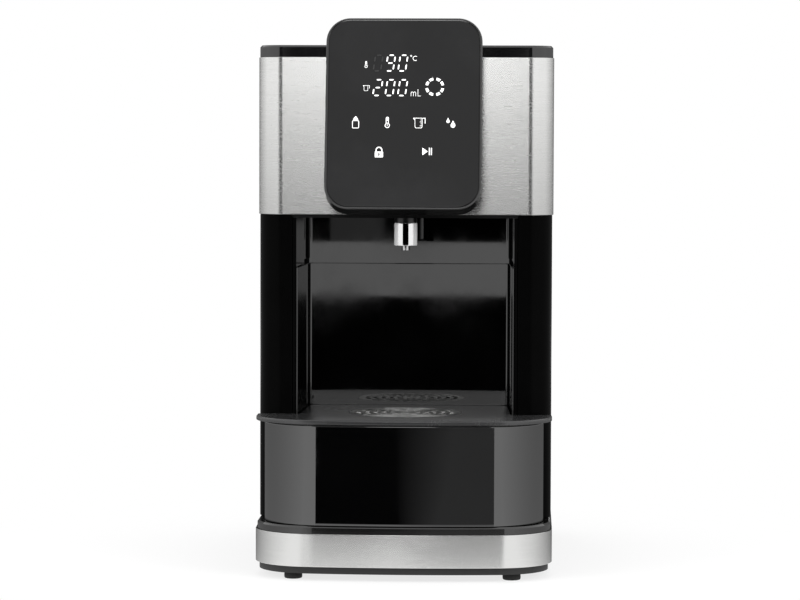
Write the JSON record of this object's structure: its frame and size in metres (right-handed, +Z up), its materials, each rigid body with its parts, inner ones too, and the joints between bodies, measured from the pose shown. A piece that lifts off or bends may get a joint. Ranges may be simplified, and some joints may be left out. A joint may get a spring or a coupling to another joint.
{
  "type": "hot water dispenser",
  "caption": "Countertop hot water dispenser: bowed drip tray base, cup bay with nozzle, steel-clad head with tilted touch console, rear water tank with hinged lid.",
  "frame": {"origin": "centre of the footprint, on the surface that the feet stand on", "axes": "+X to the right seen from the front, the front faces -Y, +Z up"},
  "size_m": [0.2096, 0.31, 0.3919],
  "materials": {
    "base_plastic": "satin",
    "steel": "brushed",
    "deck_plastic": "satin",
    "rubber": "matte",
    "screw_steel": "satin",
    "gland_plastic": "matte",
    "black_cover": "gloss",
    "black_gloss": "gloss",
    "zinc_plate": "satin",
    "top_plastic": "satin",
    "frame_grey": "satin",
    "panel_glass": "gloss",
    "circuit_board": "satin",
    "display_white": "satin",
    "copper": "satin",
    "lead_grey": "matte",
    "collar_plastic": "satin",
    "chrome": "polished",
    "tube_steel": "satin",
    "clear_white_plastic": "satin",
    "cream_plastic": "satin",
    "silicone": "satin",
    "component_grey": "satin",
    "brass": "satin",
    "tray_gloss": "gloss",
    "platform_plastic": "satin",
    "tank_plastic": "gloss",
    "seal_red": "satin"
  },
  "bodies": {
    "housing": {"base_pan": "base_plastic", "base_band": "steel", "base_deck": "deck_plastic", "feet": "rubber", "base_screws": "screw_steel", "mains_gland": "gland_plastic", "side_cover_left": "black_cover", "side_cover_right": "black_cover", "bay_frame": "black_gloss", "bay_liner": "black_gloss", "chassis": "zinc_plate", "rear_wall": "base_plastic", "head_frame": "base_plastic", "head_sleeve": "steel", "head_underside": "black_cover", "top_cover": "top_plastic", "console_frame": "frame_grey", "console_glass": "panel_glass", "console_housing": "black_cover", "console_screws": "screw_steel", "display_board": "circuit_board", "display_block": "display_white", "touch_pads": "copper", "display_lead": "lead_grey", "nozzle_collar": "collar_plastic", "nozzle_sleeve": "chrome", "nozzle_tube": "tube_steel", "outlet_chamber": "clear_white_plastic", "outlet_sensor": "screw_steel", "heater_tube": "tube_steel", "heater_caps": "cream_plastic", "heater_clamps": "zinc_plate", "thermostats": "black_cover", "pump_base": "zinc_plate", "pump_mounts": "rubber", "pump_head": "cream_plastic", "pump_motor": "zinc_plate", "flow_meter": "cream_plastic", "inlet_hose": "silicone", "pump_hose": "silicone", "heater_hose": "silicone", "outlet_hose": "silicone", "power_board": "circuit_board", "board_parts": "component_grey", "board_standoffs": "brass", "tank_dock": "cream_plastic", "dock_seal": "seal_red"},
    "tray": {"drip_tray": "tray_gloss"},
    "platform": {"drip_platform": "platform_plastic", "drip_grille": "steel"},
    "tank": {"tank_shell": "tank_plastic", "lid_pins": "screw_steel", "inlet_filter": "cream_plastic", "valve_body": "cream_plastic", "valve_spring": "tube_steel"},
    "lid": {"tank_lid": "top_plastic"},
    "plunger": {"valve_plunger": "cream_plastic", "valve_seal": "seal_red"}
  },
  "joints": [
    {"name": "tray_slide", "type": "slide", "parent": "housing", "child": "tray", "axis": [0, -1, 0], "range_m": [0, 0.125]},
    {"name": "platform_lift", "type": "slide", "parent": "tray", "child": "platform", "axis": [0, 0, 1], "range_m": [0, 0.1]},
    {"name": "tank_lift", "type": "slide", "parent": "housing", "child": "tank", "axis": [0, 0, 1], "range_m": [0, 0.34]},
    {"name": "lid_hinge", "type": "hinge", "parent": "tank", "child": "lid", "pos_m": [0, 0.1495, 0.3685], "axis": [-1, 0, 0], "range_deg": [0, 100]},
    {"name": "plunger_slide", "type": "slide", "parent": "tank", "child": "plunger", "axis": [0, 0, 1], "range_m": [-0.003, 0], "deforming": ["valve_spring"]}
  ],
  "couplings": [
    {"joint": "plunger_slide", "follows": "tank_lift", "ratio": -0.0088}
  ]
}
